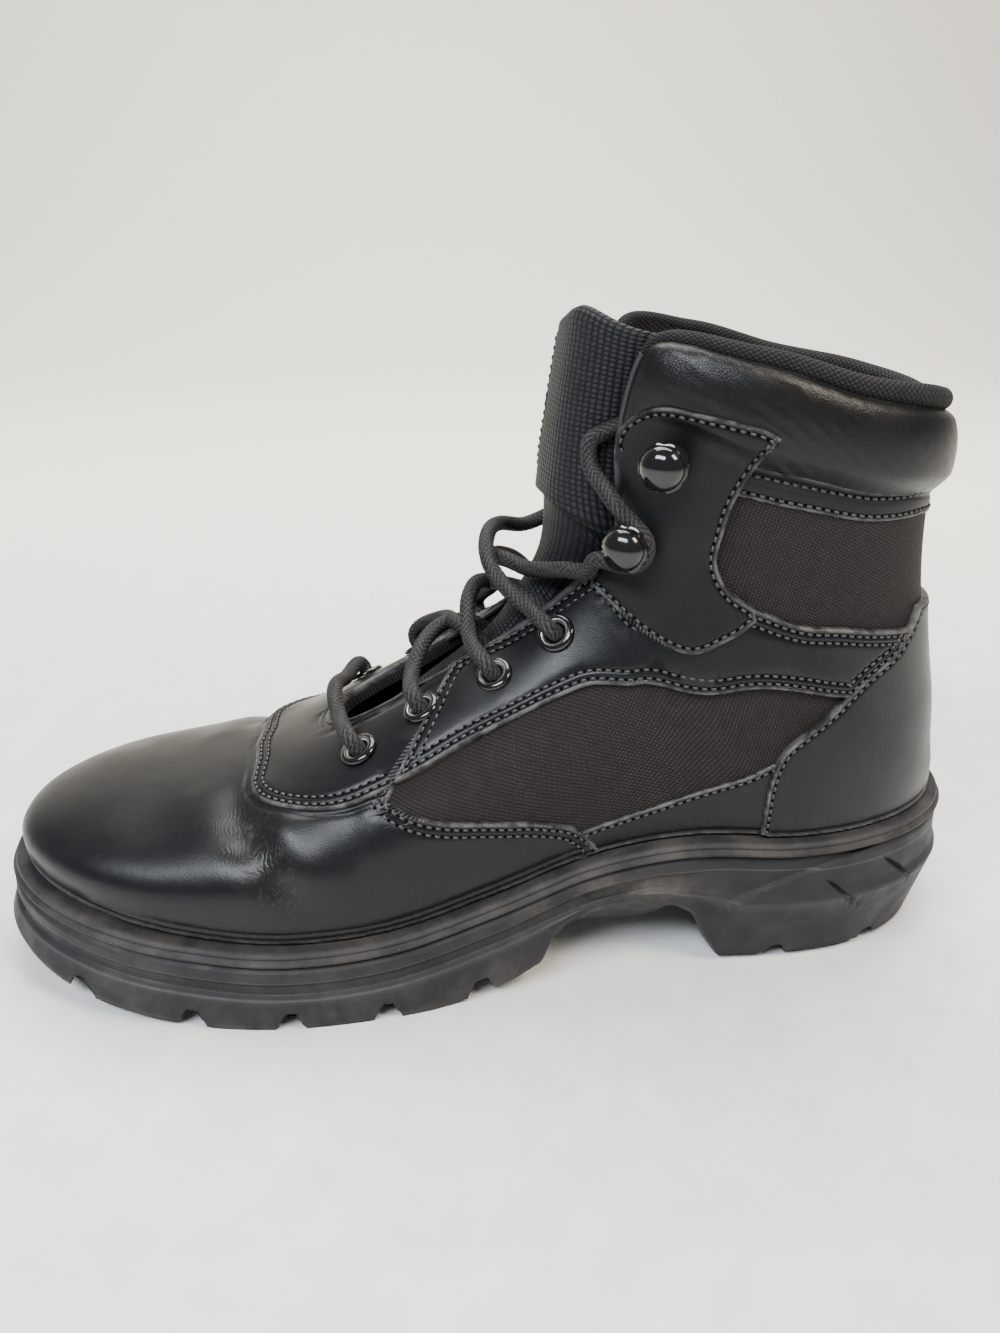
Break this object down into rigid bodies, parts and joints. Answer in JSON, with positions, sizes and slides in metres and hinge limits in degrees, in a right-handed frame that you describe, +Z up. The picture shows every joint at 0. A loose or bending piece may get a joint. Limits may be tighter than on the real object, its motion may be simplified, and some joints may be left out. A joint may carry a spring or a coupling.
{
  "type": "combat boot",
  "caption": "Left ankle-high lace-up boot with padded collar, leather and woven upper, ball hooks and a lugged rubber sole with an arched waist.",
  "frame": {"origin": "on the floor, under the middle of the sole's length and width", "axes": "+Z up, toe towards -X, heel towards +X, the outer (lateral) side towards -Y"},
  "size_m": [0.2986, 0.1139, 0.192],
  "materials": {
    "weave": "coarse ballistic weave",
    "leather": "fine grain, satin sheen",
    "tongue_webbing": "coarse webbing",
    "sole_rubber": "dull, dusty",
    "insole_foam": "felted",
    "black_enamel": "gloss enamel",
    "lace_braid": "round braid"
  },
  "bodies": {
    "root": {"ankle_overlay_lateral": "leather", "ankle_overlay_medial": "leather", "collar_cuff": "leather", "eyelet_lateral_1": "black_enamel", "eyelet_lateral_2": "black_enamel", "eyelet_lateral_3": "black_enamel", "eyelet_lateral_4": "black_enamel", "eyelet_medial_1": "black_enamel", "eyelet_medial_2": "black_enamel", "eyelet_medial_3": "black_enamel", "eyelet_medial_4": "black_enamel", "eyestay_lateral": "leather", "eyestay_medial": "leather", "heel_counter": "leather", "hook_lateral_1": "black_enamel", "hook_lateral_2": "black_enamel", "hook_medial_1": "black_enamel", "hook_medial_2": "black_enamel", "insole": "insole_foam", "lace_bar": "lace_braid", "lace_crossing_2": "lace_braid", "lace_crossing_3": "lace_braid", "lace_end_lateral": "lace_braid", "lace_end_medial": "lace_braid", "midfoot_panel_lateral": "leather", "midfoot_panel_medial": "leather", "midsole": "sole_rubber", "outsole": "sole_rubber", "tongue": "tongue_webbing", "upper": "weave", "vamp": "leather", "vamp_apron": "leather"}
  },
  "joints": []
}
